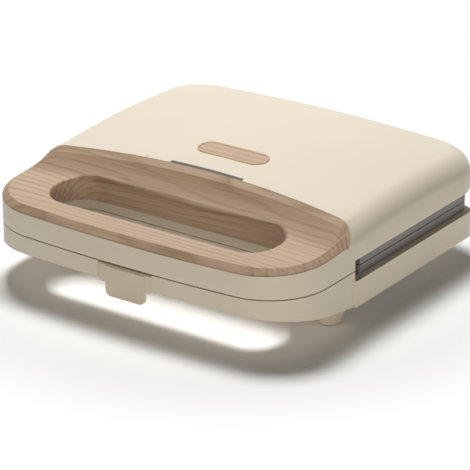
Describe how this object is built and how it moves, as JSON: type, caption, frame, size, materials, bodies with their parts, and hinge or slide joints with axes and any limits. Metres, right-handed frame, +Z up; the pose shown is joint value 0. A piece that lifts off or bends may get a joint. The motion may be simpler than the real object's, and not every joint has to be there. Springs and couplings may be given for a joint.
{
  "type": "sandwich toaster",
  "caption": "Countertop sandwich toaster with a hinged lid, triangular pocket plates, a looped carrying handle with a wood trim and a sprung front latch.",
  "frame": {"origin": "on the table, under the middle of the closed toaster's bounding box", "axes": "+X to the right seen from the handle, +Y from the handle to the hinge, +Z up"},
  "size_m": [0.253, 0.245, 0.0825],
  "materials": {
    "cream_plastic": "satin, fine texture",
    "latch_plastic": "satin",
    "trim_wood": "satin, fine lengthwise grain",
    "badge_wood": "satin",
    "smoked_window": "gloss, smoked",
    "lamp_plastic": "gloss",
    "inner_plastic": "matte",
    "nonstick": "non-stick coating, fine speckle",
    "element_steel": "dull, heat tinted",
    "sheet_steel": "rolled",
    "screw_steel": "zinc plated",
    "pin_steel": "ground",
    "bracket_steel": "zinc plated",
    "spring_steel": "bare",
    "thermostat_ceramic": "ceramic, matte",
    "wire_sheath": "silicone, matte",
    "gland_rubber": "matte",
    "pad_rubber": "matte"
  },
  "bodies": {
    "base": {"lower_housing": "cream_plastic", "lower_handle_cover": "cream_plastic", "bottom_cover": "cream_plastic", "lower_plate": "nonstick", "lower_element": "element_steel", "lower_reflector": "sheet_steel", "lower_plate_screws": "screw_steel", "thermostat": "thermostat_ceramic", "terminal_block": "inner_plastic", "supply_wires": "wire_sheath", "cord_gland": "gland_rubber", "hinge_arms": "cream_plastic", "front_feet": "cream_plastic", "rear_feet": "cream_plastic", "foot_pads": "pad_rubber", "cover_screws": "screw_steel"},
    "lid": {"upper_housing": "cream_plastic", "handle_trim": "trim_wood", "badge_plate": "badge_wood", "indicator_window": "smoked_window", "indicator_lamps": "lamp_plastic", "lamp_holder": "inner_plastic", "upper_handle_cover": "cream_plastic", "upper_plate": "nonstick", "upper_element": "element_steel", "upper_reflector": "sheet_steel", "upper_plate_screws": "screw_steel", "thermal_fuse": "sheet_steel", "hinge_lugs": "cream_plastic", "hinge_pins": "pin_steel", "latch_bracket": "bracket_steel", "latch_pin": "pin_steel", "latch_spring": "spring_steel"},
    "latch": {"latch": "latch_plastic"}
  },
  "joints": [
    {"name": "lid_hinge", "type": "hinge", "parent": "base", "child": "lid", "pos_m": [0, 0.1095, 0.0425], "axis": [-1, 0, 0], "range_deg": [0, 105]},
    {"name": "latch_hinge", "type": "hinge", "parent": "lid", "child": "latch", "pos_m": [0, -0.116, 0.0373], "axis": [-1, 0, 0], "range_deg": [0, 20], "stiffness_Nm_per_rad": 0.02, "springref_deg": -17.19}
  ]
}
